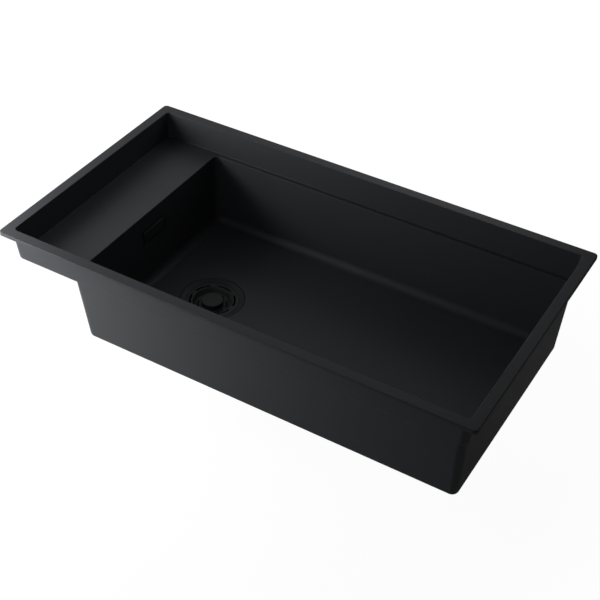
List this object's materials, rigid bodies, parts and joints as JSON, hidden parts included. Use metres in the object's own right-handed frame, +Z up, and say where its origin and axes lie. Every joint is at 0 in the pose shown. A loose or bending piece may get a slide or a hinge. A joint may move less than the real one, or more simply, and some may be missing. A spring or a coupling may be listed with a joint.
{
  "type": "kitchen sink",
  "caption": "Black composite kitchen sink with one large bowl, a lowered shelf at its left end, a basket strainer waste with a pull-up plug, and a slotted overflow with hose.",
  "frame": {"origin": "centre of the worktop cut-out, on the plane of the rim's underside, which rests on the worktop", "axes": "+X along the sink, away from its shelf and towards the bowl's far end; +Y from the front to the back; +Z up"},
  "size_m": [0.86, 0.475, 0.326],
  "materials": {
    "black_composite": "fine matte granite composite",
    "black_coated_steel": "satin black coating on stainless steel",
    "stainless_steel": "brushed",
    "brass": "plain turned",
    "black_rubber": "matte",
    "black_plastic": "satin",
    "white_plastic": "moulded polypropylene",
    "grey_plastic": "moulded polypropylene"
  },
  "bodies": {
    "sink": {"sink_body": "black_composite", "strainer_cup": "black_coated_steel", "clamp_screw": "stainless_steel", "overflow_screws": "stainless_steel", "clamp_nut": "brass", "cup_gasket": "black_rubber", "waste_gasket": "black_rubber", "overflow_gasket": "black_rubber", "upper_hose_washer": "black_rubber", "lower_hose_washer": "black_rubber", "outlet_washer": "black_rubber", "overflow_frame": "black_plastic", "overflow_cover": "black_plastic", "waste_body": "white_plastic", "overflow_elbow": "white_plastic", "outlet_pipe": "white_plastic", "outlet_nut": "white_plastic", "upper_hose_nut": "white_plastic", "lower_hose_nut": "white_plastic", "overflow_hose": "grey_plastic"},
    "basket": {"basket_sieve": "black_coated_steel"},
    "plug": {"basket_knob": "black_coated_steel", "plug_stem": "stainless_steel", "plug_plate": "stainless_steel", "plug_seal": "black_rubber", "plug_nut": "stainless_steel", "stem_ring": "black_rubber"}
  },
  "joints": [
    {"name": "basket_lift", "type": "slide", "parent": "sink", "child": "basket", "axis": [0, 0, 1], "range_m": [0, 0.25]},
    {"name": "plug_pull", "type": "slide", "parent": "basket", "child": "plug", "axis": [0, 0, 1], "range_m": [0, 0.008]}
  ]
}
